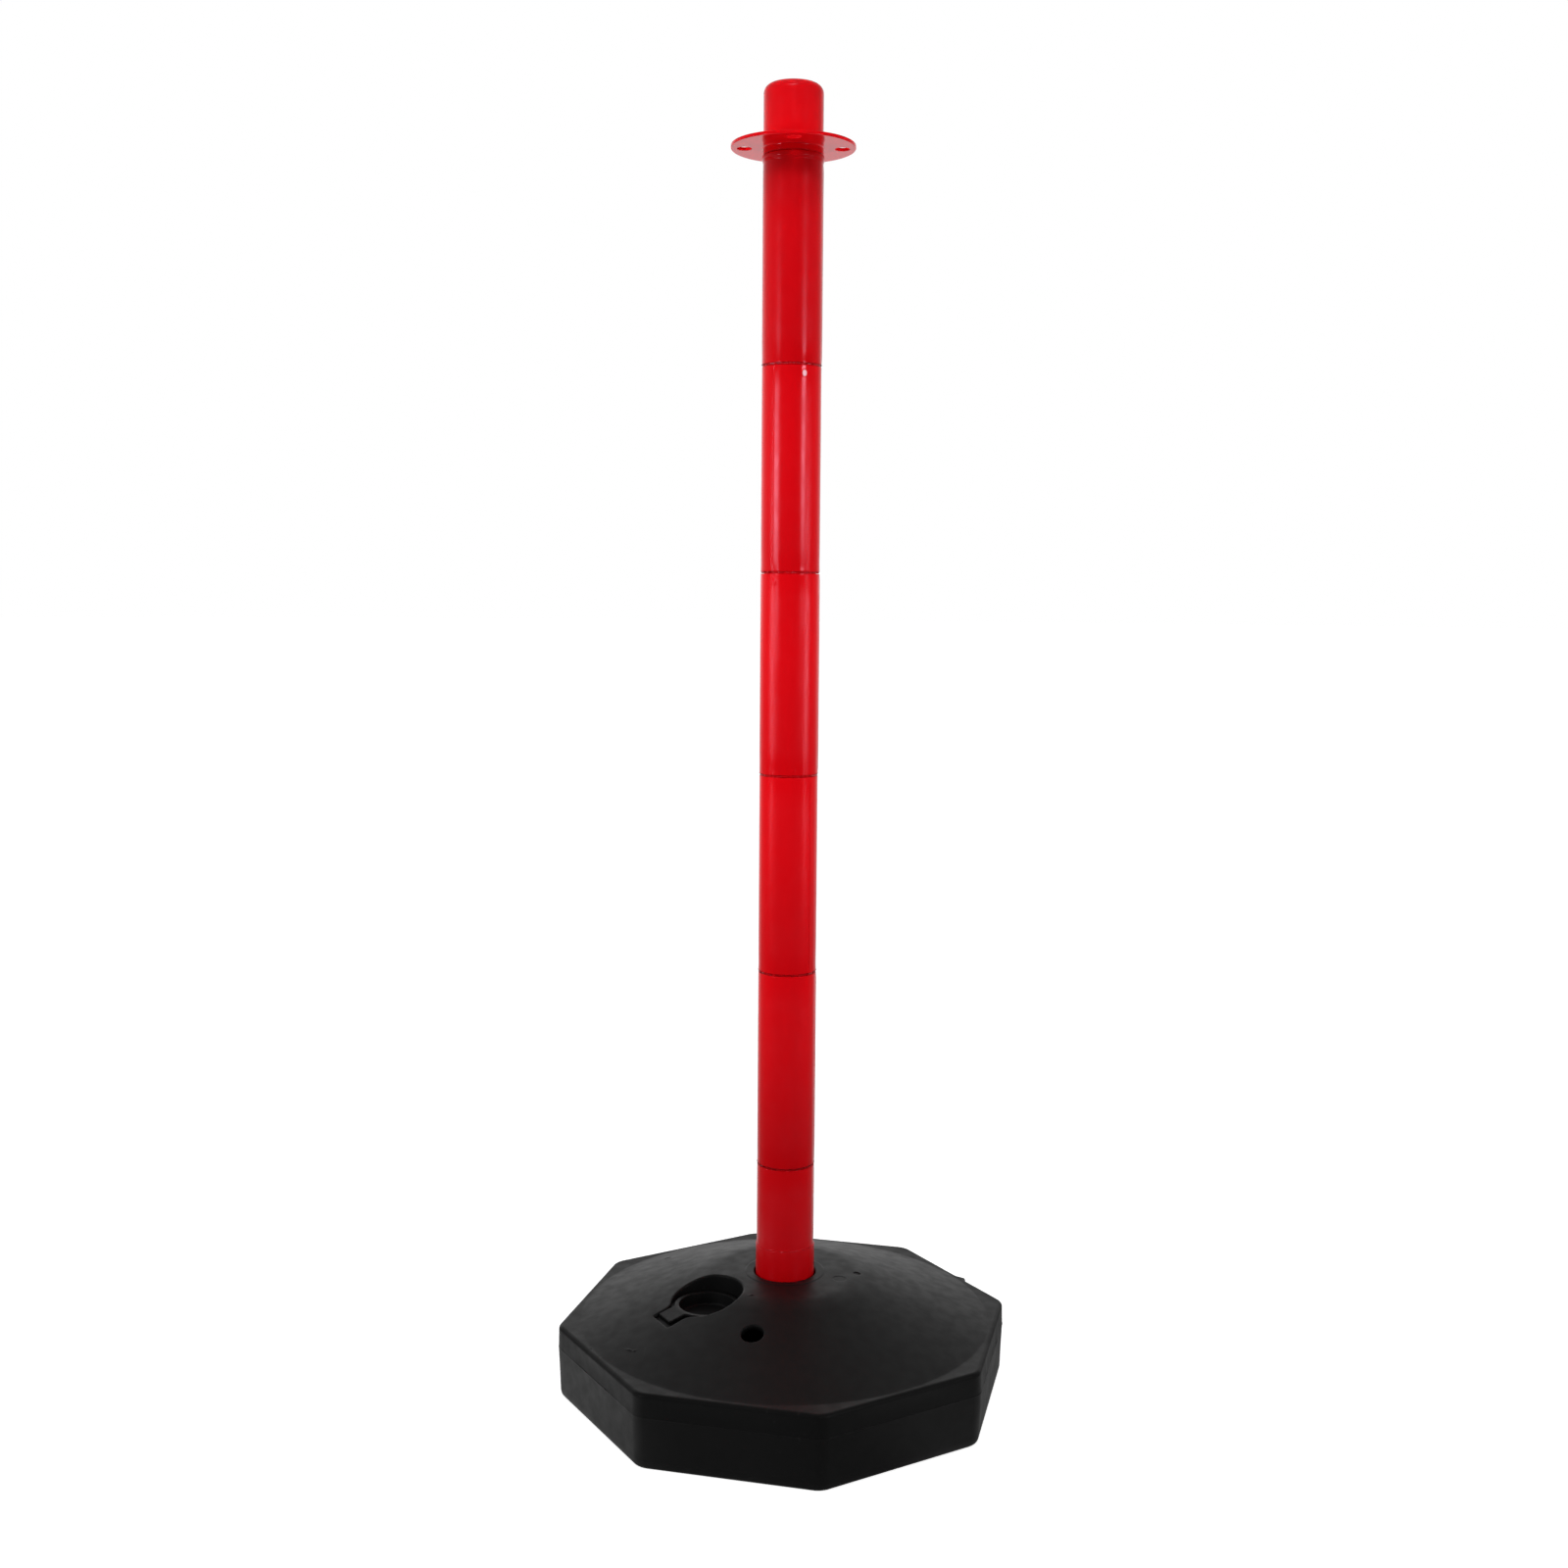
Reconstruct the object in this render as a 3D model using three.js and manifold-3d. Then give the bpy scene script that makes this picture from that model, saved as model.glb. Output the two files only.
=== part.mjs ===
// Sectional chain post standing in an octagonal, fillable ballast base.
// Millimetres, +Z up. The origin is on the floor, on the post's axis.
// The base's flats face along X, Y and the diagonals between them.

import * as THREE from "three";
import { mergeVertices } from "three/addons/utils/BufferGeometryUtils.js";
import Module from "manifold-3d";

const wasm = await Module();
wasm.setup();

// Fits
const GAP = 0.3; // left between pieces that touch
const POST_SIDES = 36; // facets round the post, the same on every section
const DOME_SIDES = 48;
const VENT_SIDES = 24;
const EYE_SIDES = 20;

// Ballast tank: distances to the flats, then heights
const TANK_FLAT_FLOOR = 146.4;
const TANK_FLAT_PARTING = 147.8;
const TANK_FLAT_TOP = 147.5;
const TANK_CORNER_RADIUS = 13;
const TANK_WALL = 3.2;
const PARTING_HEIGHT = 36;
const FLASH = 0.5; // how far the moulding seam stands proud of the sides
const FLOOR_EDGE = 3.2;
const BORDER_EDGE = 2.8;
const BORDER_HEIGHT = 51.6;
const FLOOR_RECESS_FLAT = 134;
const FLOOR_RECESS_DEPTH = 3;

// Dome on the tank: radius and height of the points that its outline passes
const DOME_EDGE = [143.5, BORDER_HEIGHT];
const PLATEAU_EDGE = [60, 79.5];
const PLATEAU_SHOULDER = [51, 81.6];
const HUB = [30, 83];

// Socket for the post
const SOCKET_RADIUS = 21.7;
const SOCKET_WALL = 3.2;
const SOCKET_FLOOR = 6.6;

// Filler pocket, its slot for the bung's tab, and the vent
const FILLER_ANGLE = -135.8;
const FILLER_DISTANCE = 62;
const POCKET_RADIUS = 24.8;
const POCKET_FLOOR = 68.5;
const FILLER_RADIUS = 20.8;
const SLOT_START = 20; // along the slot, from the filler's axis
const SLOT_LENGTH = 36.5;
const SLOT_SIDES = [-12.4, 8.8];
const SLOT_FALL = 0.28; // how steeply the slot's floor drops outwards
const VENT_ANGLE = -90.8;
const VENT_RADIUS = 7.5;
const VENT_DISTANCE = 84;

// Bung
const BUNG_RIM = [19.2, 22.3];
const BUNG_RIM_TOP = 71;
const BUNG_PLUG_RADIUS = 20.4;
const BUNG_CUP_FLOOR = 62.5;
const BUNG_SKIN = 2.2;
const TAB_WIDTH = 15.8;
const TAB_LENGTH = 33;

// Post sections
const POST_RADIUS = 20;
const POST_BORE = 17.8;
const SECTION_PITCH = 136.8;
const FIRST_JOINT = 162;
const SPIGOTED_SECTIONS = 5; // those above the foot section
const JOINT_GROOVE = 1.4;
const SHOULDER_RADIUS = 19.2;
const SPIGOT_RADIUS = 17.5;
const SPIGOT_BORE = 15.3;
const SPIGOT_LENGTH = 25;
const SPIGOT_LEAD = 1.5;
const FOOT_COLLAR_RADIUS = 20.65;
const FOOT_COLLAR_TOP = 103.5;
const RIM_RADIUS = 20.65;
const RIM_HEIGHT = 5.2;
const RIM_LEAD = 1;
const RIM_TOP = 845.3;

// Chain cap
const CAP_NECK_RADIUS = 19.5;
const CAP_BODY_RADIUS = 19.85;
const CAP_TOP = 891;
const CAP_EDGE = 6;
const CAP_SKIN = 2.4;
const FLANGE_BOTTOM = 849.9;
const FLANGE_THICKNESS = 2.3;
const FLANGE_RADIUS = 41.4;
const EYES = 4;
const EYE_RADIUS = 4.9;
const EYE_DISTANCE = 32.4;
const CAP_TURN = 13.9; // the cap is pushed in at any turn; this is how it stands

const RED = { color: 0xc8060f, roughness: 0.35, metalness: 0 };
const BLACK = { color: 0x1c1c1c, roughness: 0.5, metalness: 0 };

const radians = THREE.MathUtils.degToRad;

// Turns a closed geometry into a solid that can be cut and joined.
function solid(geometry) {
  geometry.deleteAttribute("normal");
  geometry.deleteAttribute("uv");
  const merged = mergeVertices(geometry, 1e-4);
  const mesh = new wasm.Mesh({
    numProp: 3,
    vertProperties: new Float32Array(merged.attributes.position.array),
    triVerts: new Uint32Array(merged.index.array),
  });
  return new wasm.Manifold(mesh);
}

// A solid of revolution about Z from [radius, height] pairs, which run up the outside.
function turned(profile, sides = POST_SIDES) {
  const points = profile.map(([radius, height]) => new THREE.Vector2(radius, height));
  const geometry = new THREE.LatheGeometry(points, sides);
  geometry.rotateX(Math.PI / 2);
  return solid(geometry);
}

function rod(radius, bottom, top, sides = POST_SIDES) {
  return turned([[0, bottom], [radius, bottom], [radius, top], [0, top]], sides);
}

// An octagon with rounded corners whose flats are one unit from its centre.
function unitOctagon() {
  const cornerRadius = TANK_CORNER_RADIUS / TANK_FLAT_PARTING;
  const halfSide = Math.PI / 8;
  const reach = (1 - cornerRadius) / Math.cos(halfSide);
  const shape = new THREE.Shape();
  for (let corner = 0; corner < 8; corner += 1) {
    const angle = (2 * corner + 1) * halfSide;
    const x = reach * Math.cos(angle);
    const y = reach * Math.sin(angle);
    shape.absarc(x, y, cornerRadius, angle - halfSide, angle + halfSide, false);
  }
  shape.closePath();
  return shape;
}

// An octagonal solid from [distance to the flats, height] pairs, which run upwards.
function octagonal(profile) {
  const steps = profile.length - 1;
  const options = { depth: steps, steps, curveSegments: 2, bevelEnabled: false };
  const geometry = new THREE.ExtrudeGeometry(unitOctagon(), options);
  const position = geometry.attributes.position;
  for (let index = 0; index < position.count; index += 1) {
    const [flat, height] = profile[Math.round(position.getZ(index))];
    position.setXYZ(index, position.getX(index) * flat, position.getY(index) * flat, height);
  }
  return solid(geometry);
}

// A plate standing on a line that runs outwards through the filler. Its outline holds
// [distance from the filler's axis, height] pairs, and sides are how far it reaches
// to each side of that line.
function radialPlate(outline, sides) {
  const shape = new THREE.Shape(outline.map(([along, height]) => new THREE.Vector2(along, height)));
  const options = { depth: sides[1] - sides[0], bevelEnabled: false };
  const geometry = new THREE.ExtrudeGeometry(shape, options);
  geometry.rotateX(Math.PI / 2);
  geometry.translate(FILLER_DISTANCE, -sides[0], 0);
  geometry.rotateZ(radians(FILLER_ANGLE));
  return solid(geometry);
}

// Moves a piece outwards from the post's axis, in the direction of an angle in degrees.
function moved(piece, distance, degrees) {
  const angle = radians(degrees);
  return piece.translate(distance * Math.cos(angle), distance * Math.sin(angle), 0);
}

const atFiller = (piece) => moved(piece, FILLER_DISTANCE, FILLER_ANGLE);

function domeProfile(inset) {
  const rise = ([radius, height]) => [radius, height - inset];
  const edge = [DOME_EDGE[0] - inset, DOME_EDGE[1] - inset];
  const below = PARTING_HEIGHT;
  return [
    [0, below],
    [edge[0], below],
    edge,
    rise(PLATEAU_EDGE),
    rise(PLATEAU_SHOULDER),
    rise(HUB),
    [0, HUB[1] - inset],
  ];
}

// The tank's body before it is hollowed: octagonal sides, a flat border and the dome.
function tankOutside() {
  const sides = octagonal([
    [TANK_FLAT_FLOOR - FLOOR_EDGE, 0],
    [TANK_FLAT_FLOOR - 0.3 * FLOOR_EDGE, 0.3 * FLOOR_EDGE],
    [TANK_FLAT_FLOOR, FLOOR_EDGE],
    [TANK_FLAT_PARTING, PARTING_HEIGHT - FLASH],
    [TANK_FLAT_PARTING + FLASH, PARTING_HEIGHT],
    [TANK_FLAT_PARTING, PARTING_HEIGHT + FLASH],
    [TANK_FLAT_TOP, BORDER_HEIGHT - BORDER_EDGE],
    [TANK_FLAT_TOP - 0.3 * BORDER_EDGE, BORDER_HEIGHT - 0.3 * BORDER_EDGE],
    [TANK_FLAT_TOP - BORDER_EDGE, BORDER_HEIGHT],
  ]);
  return sides.add(turned(domeProfile(0), DOME_SIDES));
}

// The room for the ballast, which goes round the socket and under the filler pocket.
function tankInside() {
  const sides = octagonal([
    [TANK_FLAT_FLOOR - FLOOR_EDGE - TANK_WALL, FLOOR_RECESS_DEPTH + TANK_WALL],
    [TANK_FLAT_PARTING - TANK_WALL, PARTING_HEIGHT],
    [TANK_FLAT_TOP - TANK_WALL, BORDER_HEIGHT - TANK_WALL],
  ]);
  return sides
    .add(turned(domeProfile(TANK_WALL), DOME_SIDES))
    .subtract(rod(SOCKET_RADIUS + SOCKET_WALL, 0, CAP_TOP))
    .subtract(pocketCut(TANK_WALL));
}

// The filler pocket with the slot for the tab, grown by a margin on every side.
function pocketCut(margin) {
  const floor = POCKET_FLOOR - margin;
  const end = SLOT_LENGTH + margin;
  const slot = radialPlate(
    [
      [0, floor],
      [SLOT_START, floor],
      [end, floor - SLOT_FALL * (end - SLOT_START)],
      [end, CAP_TOP],
      [0, CAP_TOP],
    ],
    [SLOT_SIDES[0] - margin, SLOT_SIDES[1] + margin],
  );
  return atFiller(rod(POCKET_RADIUS + margin, floor, CAP_TOP)).add(slot);
}

function baseTank() {
  const vent = rod(VENT_RADIUS, PARTING_HEIGHT, CAP_TOP, VENT_SIDES);
  return tankOutside()
    .subtract(tankInside())
    .subtract(rod(SOCKET_RADIUS, SOCKET_FLOOR, CAP_TOP))
    .subtract(pocketCut(0))
    .subtract(atFiller(rod(FILLER_RADIUS, PARTING_HEIGHT, CAP_TOP)))
    .subtract(moved(vent, VENT_DISTANCE, VENT_ANGLE))
    .subtract(octagonal([[FLOOR_RECESS_FLAT, -1], [FLOOR_RECESS_FLAT, FLOOR_RECESS_DEPTH]]));
}

// A shallow cup with a flat rim that rests on the pocket's floor, and a pull tab.
function fillerBung() {
  const [rimInside, rimOutside] = BUNG_RIM;
  const underside = BUNG_CUP_FLOOR - BUNG_SKIN;
  const rimBottom = POCKET_FLOOR + GAP;
  const cup = turned([
    [0, underside],
    [BUNG_PLUG_RADIUS - BUNG_SKIN, underside],
    [BUNG_PLUG_RADIUS, underside + BUNG_SKIN],
    [BUNG_PLUG_RADIUS, rimBottom],
    [rimOutside, rimBottom],
    [rimOutside, BUNG_RIM_TOP],
    [rimInside, BUNG_RIM_TOP],
    [rimInside - 0.6, BUNG_CUP_FLOOR],
    [0, BUNG_CUP_FLOOR],
  ]);
  const tabRoot = SLOT_START + 1;
  const fall = SLOT_FALL * (TAB_LENGTH - tabRoot);
  const tab = radialPlate(
    [
      [tabRoot, rimBottom],
      [TAB_LENGTH, rimBottom - fall],
      [TAB_LENGTH, BUNG_RIM_TOP - fall],
      [tabRoot, BUNG_RIM_TOP],
    ],
    [-TAB_WIDTH / 2, TAB_WIDTH / 2],
  );
  return atFiller(cup).add(tab);
}

// Where the body of a section that stands on the joint at this height begins.
const bodyStart = (joint) => joint + JOINT_GROOVE / 2;

// The narrower end that goes down into the section below the joint at this height,
// as the lower part of a section's outline: from its bore out to its shoulder.
function spigotProfile(joint, shoulder = SHOULDER_RADIUS) {
  const seat = joint - JOINT_GROOVE / 2 + GAP;
  const tip = joint - SPIGOT_LENGTH;
  return [
    [SPIGOT_BORE, tip],
    [SPIGOT_RADIUS - SPIGOT_LEAD / 2, tip],
    [SPIGOT_RADIUS, tip + SPIGOT_LEAD],
    [SPIGOT_RADIUS, seat],
    [shoulder, seat],
  ];
}

// The upper end of a section's outline, from its outside to its bore.
function openEnd(radius, top, bore = POST_BORE) {
  return [[radius, top], [bore, top]];
}

function footSection() {
  const bottom = SOCKET_FLOOR + GAP;
  const step = FOOT_COLLAR_RADIUS - POST_RADIUS;
  return turned([
    [POST_BORE, bottom],
    [FOOT_COLLAR_RADIUS - step, bottom],
    [FOOT_COLLAR_RADIUS, bottom + 2 * step],
    [FOOT_COLLAR_RADIUS, FOOT_COLLAR_TOP],
    [POST_RADIUS, FOOT_COLLAR_TOP + step],
    ...openEnd(POST_RADIUS, FIRST_JOINT - JOINT_GROOVE / 2),
    [POST_BORE, bottom],
  ]);
}

// The bore narrows to the spigot's own bore just above the joint.
function closeBore(joint) {
  return [
    [POST_BORE, bodyStart(joint) + 2 * SPIGOT_LEAD],
    [SPIGOT_BORE, bodyStart(joint)],
    [SPIGOT_BORE, joint - SPIGOT_LENGTH],
  ];
}

function postSection(joint) {
  return turned([
    ...spigotProfile(joint),
    [SHOULDER_RADIUS, bodyStart(joint)],
    [POST_RADIUS, bodyStart(joint)],
    ...openEnd(POST_RADIUS, joint + SECTION_PITCH - JOINT_GROOVE / 2),
    ...closeBore(joint),
  ]);
}

// The uppermost section ends in a slightly thicker rim under the cap.
function topSection(joint) {
  return turned([
    ...spigotProfile(joint),
    [SHOULDER_RADIUS, bodyStart(joint)],
    [POST_RADIUS, bodyStart(joint)],
    [POST_RADIUS, RIM_TOP - RIM_HEIGHT],
    [RIM_RADIUS, RIM_TOP - RIM_HEIGHT + RIM_LEAD],
    [RIM_RADIUS, RIM_TOP - RIM_LEAD],
    ...openEnd(RIM_RADIUS - RIM_LEAD, RIM_TOP),
    ...closeBore(joint),
  ]);
}

// A round cap with a flange that has four eyes for chain hooks.
function chainCap() {
  const joint = RIM_TOP + JOINT_GROOVE / 2;
  const flangeTop = FLANGE_BOTTOM + FLANGE_THICKNESS;
  const edge = [0, 30, 60, 90].map((degrees) => [
    CAP_BODY_RADIUS - CAP_EDGE * (1 - Math.cos(radians(degrees))),
    CAP_TOP - CAP_EDGE * (1 - Math.sin(radians(degrees))),
  ]);
  const ceiling = CAP_TOP - CAP_SKIN;
  const body = turned([
    ...spigotProfile(joint, CAP_NECK_RADIUS),
    [CAP_NECK_RADIUS, FLANGE_BOTTOM],
    [FLANGE_RADIUS, FLANGE_BOTTOM],
    [FLANGE_RADIUS, flangeTop],
    [CAP_BODY_RADIUS, flangeTop],
    ...edge,
    [0, CAP_TOP],
    [0, ceiling],
    [SPIGOT_BORE - CAP_SKIN, ceiling],
    [SPIGOT_BORE, ceiling - CAP_SKIN],
    [SPIGOT_BORE, joint - SPIGOT_LENGTH],
  ]);
  const hole = rod(EYE_RADIUS, RIM_TOP, CAP_TOP, EYE_SIDES);
  let cap = body;
  for (let eye = 0; eye < EYES; eye += 1) {
    cap = cap.subtract(moved(hole, EYE_DISTANCE, CAP_TURN + (360 / EYES) * eye));
  }
  return cap;
}

// Makes the visible mesh of a solid.
function named(name, piece, finish) {
  const { vertProperties, triVerts } = piece.getMesh();
  const geometry = new THREE.BufferGeometry();
  geometry.setAttribute("position", new THREE.BufferAttribute(vertProperties, 3));
  geometry.setIndex(new THREE.BufferAttribute(triVerts, 1));
  geometry.computeVertexNormals();
  const mesh = new THREE.Mesh(geometry, new THREE.MeshStandardMaterial(finish));
  mesh.name = name;
  return mesh;
}

const chainPost = new THREE.Group();
chainPost.add(named("base_tank", baseTank(), BLACK));
chainPost.add(named("filler_bung", fillerBung(), BLACK));
chainPost.add(named("post_foot_section", footSection(), RED));
for (let section = 0; section < SPIGOTED_SECTIONS; section += 1) {
  const joint = FIRST_JOINT + section * SECTION_PITCH;
  const isTop = section === SPIGOTED_SECTIONS - 1;
  const name = isTop ? "post_top_section" : `post_section_${section + 2}`;
  chainPost.add(named(name, isTop ? topSection(joint) : postSection(joint), RED));
}
chainPost.add(named("chain_cap", chainCap(), RED));

export default chainPost;
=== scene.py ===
"""The looks of a sectional chain post that stands in an octagonal, fillable base.

Lengths in the geometry are millimetres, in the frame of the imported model: +Z up, with the
origin on the floor, on the post's axis. A mesh is scaled to metres when it is made.
"""

from math import atan2, ceil, cos, pi, radians, sin, tan, tau

import bmesh
import bpy
import numpy as np
from mathutils import Euler, Matrix, Vector, noise
from mathutils.geometry import delaunay_2d_cdt


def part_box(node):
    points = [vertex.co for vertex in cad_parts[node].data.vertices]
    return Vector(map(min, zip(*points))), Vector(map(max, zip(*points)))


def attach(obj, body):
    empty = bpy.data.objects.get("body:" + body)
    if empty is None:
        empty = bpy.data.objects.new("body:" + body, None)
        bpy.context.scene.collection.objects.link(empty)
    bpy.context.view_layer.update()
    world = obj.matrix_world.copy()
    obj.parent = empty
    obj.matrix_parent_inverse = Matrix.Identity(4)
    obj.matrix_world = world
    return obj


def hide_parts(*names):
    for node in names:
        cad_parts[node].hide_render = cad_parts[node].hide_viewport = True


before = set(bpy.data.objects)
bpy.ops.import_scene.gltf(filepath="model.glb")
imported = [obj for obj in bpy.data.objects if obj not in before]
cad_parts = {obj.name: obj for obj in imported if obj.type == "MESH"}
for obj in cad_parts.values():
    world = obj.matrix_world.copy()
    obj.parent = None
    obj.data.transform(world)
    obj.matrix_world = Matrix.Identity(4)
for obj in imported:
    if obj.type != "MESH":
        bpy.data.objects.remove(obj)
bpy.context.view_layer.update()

MM = 0.001  # metres in the unit of the geometry


def span(node, axis):
    """How far a CAD node reaches along an axis, in millimetres."""
    low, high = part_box(node)
    return low[axis] / MM, high[axis] / MM


# Rounded edges
SUPPORT = 0.45  # from a rounded edge to the loop that keeps the flat beside it flat
EDGE_STEPS = 6

# Tank
FLASH = 0.5  # how far the parting line's flash stands out at most
TANK_FLAT = span("base_tank", 0)[1] - FLASH  # to the flats, at the parting line
TANK_FLAT_FLOOR = TANK_FLAT - 1.4
TANK_FLAT_TOP = TANK_FLAT - 0.3
TANK_CORNER = 13.0
TANK_WALL = 3.2
PARTING_HEIGHT = 36.0
BORDER_HEIGHT = 51.6
BORDER_EDGE = 2.8
FLOOR_EDGE = 4.4
RECESS_FLAT = 134.0  # the recess underneath, inside the standing rim
RECESS_DEPTH = 3.0
SIDE_POINTS = 44
CORNER_POINTS = 12
SIDE_SINK = 0.4  # the sides shrink inwards between their corners
SIDE_SINK_REACH = 56.0  # from the middle of a side to where that ends
SIDE_WAVE = 0.12

# Dome: each bend of its outline, as radius, the slope that it adds inwards, and its half-width
DOME_EDGE = 143.5
PLATEAU_EDGE = 60.0
SHOULDER = 51.0
HUB = 30.0
DOME_SLOPE = 27.9 / 83.5
PLATEAU_SLOPE = 2.1 / 9.0
SHOULDER_SLOPE = 1.4 / 21.0
DOME_BENDS = (
    (DOME_EDGE, DOME_SLOPE, 0.7),
    (PLATEAU_EDGE, PLATEAU_SLOPE - DOME_SLOPE, 4.0),
    (SHOULDER, SHOULDER_SLOPE - PLATEAU_SLOPE, 4.0),
    (HUB, -SHOULDER_SLOPE, 2.0),
)
HUB_RING = 27.8
HUB_RING_STEP = 0.35
DOME_WAVE = 0.16
DOME_WAVE_SIZE = 42.0

# Socket
SOCKET_RADIUS = 21.7
SOCKET_WALL = 3.2
SOCKET_FLOOR = 6.6
SOCKET_EDGE = 0.9

# Filler pocket, slot and vent
FILLER_ANGLE = radians(-135.8)
FILLER_DISTANCE = 62.0
POCKET_RADIUS = 24.8
POCKET_FLOOR = 68.5
POCKET_EDGE = 1.5
FILLER_RADIUS = 20.8
SLOT_START = 20.0
SLOT_LENGTH = 36.5
SLOT_SIDES = (-8.8, 12.4)
SLOT_FALL = 0.28
VENT_ANGLE = radians(-90.8)
VENT_DISTANCE = 84.0
VENT_RADIUS = 7.5
VENT_EDGE = 0.9

# Bung
BUNG_RIM = (19.2, 22.3)
BUNG_RIM_TOP = span("filler_bung", 2)[1]
BUNG_BOTTOM = span("filler_bung", 2)[0]
BUNG_PLUG_RADIUS = 20.4
BUNG_SKIN = 2.2
BUNG_EDGE = 0.55
PLUG_EDGE = 1.6
TAB_HALF_WIDTH = 7.9
TAB_LENGTH = 33.0

# Post
GAP = 0.3
GROOVE = 1.4
JOINTS = [span(node, 2)[1] + GROOVE / 2 for node in (
    "post_foot_section", "post_section_2", "post_section_3", "post_section_4", "post_section_5",
)]  # heights of the joints between the sections, from the lowest up
POST_RADIUS = span("post_section_2", 0)[1]
POST_BORE = 17.8
SHOULDER_RADIUS = 19.62
SPIGOT_RADIUS = 17.5
SPIGOT_BORE = 15.3
SPIGOT_LENGTH = 25.0
SPIGOT_LEAD = 1.5
COLLAR_RADIUS = 20.65
FOOT_COLLAR_TOP = 103.5
RIM_HEIGHT = 5.2
RIM_LEAD = 1.0
NECK_GAP = 0.06  # between the cap's neck and the rim that it rests on
END_EDGE = 0.32
POST_ANGLES = 144
ROW_PITCH = 3.4

# Cap
NECK_RADIUS = 20.1
CAP_RADIUS = 19.85
CAP_TOP = span("chain_cap", 2)[1]
CAP_EDGE = 6.0
CAP_SKIN = 2.4
FLANGE_BOTTOM = 849.9
FLANGE_THICKNESS = 2.3
FLANGE_RADIUS = span("chain_cap", 0)[1]
FLANGE_EDGE = 0.55
FLANGE_FILLET = 1.8
EYES = 4
EYE_RADIUS = 4.9
EYE_DISTANCE = 32.4
EYE_EDGE = 0.45
CAP_TURN = radians(13.9)


class Skin:
    """The points and faces of one piece."""

    def __init__(self):
        self.points = []
        self.faces = []

    def loop(self, points):
        first = len(self.points)
        self.points.extend(tuple(map(float, point)) for point in points)
        return list(range(first, len(self.points)))

    def band(self, one, other):
        """Joins two loops of as many points, or a loop and a single point."""
        if len(other) == 1:
            one, other = other, one
        count = len(other)
        for here in range(count):
            there = (here + 1) % count
            if len(one) == 1:
                self.faces.append((one[0], other[there], other[here]))
            else:
                self.faces.append((one[here], one[there], other[there], other[here]))

    def sweep(self, loops, closed=False):
        """Joins each loop to the next, and returns the first and the last."""
        for one, other in zip(loops, loops[1:]):
            self.band(one, other)
        if closed:
            self.band(loops[-1], loops[0])
        return loops[0], loops[-1]

    def sheet(self, outer, holes, seeds, surface):
        """Triangles from an outer loop to the loops of its holes, through seeds on a surface."""
        rims = [np.array([self.points[index][:2] for index in rim]) for rim in (outer, *holes)]
        seeds = seeds[inside(seeds, rims[0])]
        for rim in rims[1:]:
            seeds = seeds[~inside(seeds, rim)]
        for rim in rims:
            gaps = np.linalg.norm(seeds[:, None] - rim[None], axis=2).min(axis=1)
            seeds = seeds[gaps > 0.6 * SUPPORT]
        heights = surface(seeds)
        indices = [index for rim in (outer, *holes) for index in rim]
        indices += self.loop(np.c_[seeds, heights])
        edges = []
        first = 0
        for rim in rims:
            count = len(rim)
            edges += [(first + here, first + (here + 1) % count) for here in range(count)]
            first += count
        flat = [Vector(point) for point in np.concatenate([*rims, seeds])]
        places, _, triangles, sources, _, _ = delaunay_2d_cdt(flat, edges, [], 0, 1e-6)
        places = np.array([tuple(place) for place in places])
        middles = places[np.array(triangles)].mean(axis=1)
        keep = inside(middles, rims[0])
        for rim in rims[1:]:
            keep &= ~inside(middles, rim)
        for triangle, kept in zip(triangles, keep):
            if kept:
                self.faces.append(tuple(indices[sources[corner][0]] for corner in triangle))


def inside(points, outline):
    """Which points lie in a closed outline."""
    x, y = points[:, 0, None], points[:, 1, None]
    (x0, y0), (x1, y1) = outline.T, np.roll(outline, -1, axis=0).T
    crossed = (y0 > y) != (y1 > y)
    rise = np.where(y1 == y0, 1.0, y1 - y0)
    left = x < x0 + (y - y0) / rise * (x1 - x0)
    return (crossed & left).sum(axis=1) % 2 == 1


def hinge(distance, half_width):
    """Zero below zero and the distance itself above it, with a smooth bend between."""
    bend = (distance + half_width) ** 2 / (4 * half_width)
    above = np.where(distance > half_width, distance, bend)
    return np.where(distance < -half_width, 0.0, above)


def pulse(distance, half_width):
    """One in the middle, falling smoothly to nearly nothing at twice the half-width."""
    return np.exp(-((np.asarray(distance) / half_width) ** 2))


def waves(points, size, seed):
    """Smooth unevenness from -1 to 1 with bumps of about this size."""
    return np.array([noise.noise(Vector(point) / size + Vector((seed, 0, 0))) for point in points])


def arc(steps=EDGE_STEPS):
    """Sine and one less cosine of the angles of a rounded quarter edge, from its start."""
    turns = np.linspace(0, pi / 2, steps + 1)
    return list(zip(np.sin(turns), 1 - np.cos(turns)))


def rounded(corners, steps=EDGE_STEPS):
    """Points of an outline from its corners (x, y, radius), each rounded to its radius."""
    points = []
    count = len(corners)
    for index, (x, y, radius) in enumerate(corners):
        here = np.array([x, y])
        if radius == 0:
            points.append(here)
            continue
        before = np.array(corners[index - 1][:2]) - here
        after = np.array(corners[(index + 1) % count][:2]) - here
        before /= np.linalg.norm(before)
        after /= np.linalg.norm(after)
        half = np.arccos(np.clip(before @ after, -1, 1)) / 2
        reach = radius / tan(half)
        middle = here + (before + after) / np.linalg.norm(before + after) * radius / sin(half)
        start, end = here + before * reach, here + after * reach
        points.append(start + before * SUPPORT)
        first = start - middle
        sweep = pi - 2 * half
        across = end - middle
        for step in range(steps + 1):
            share = step / steps
            weights = sin((1 - share) * sweep), sin(share * sweep)
            points.append(middle + (first * weights[0] + across * weights[1]) / sin(sweep))
        points.append(end + after * SUPPORT)
    return points


def at_height(points, height):
    return np.c_[points, np.full(len(points), float(height))]


def ring(radius, height, angles):
    if radius == 0:
        return [(0, 0, height)]
    return [(radius * cos(angle), radius * sin(angle), height) for angle in angles]


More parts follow.
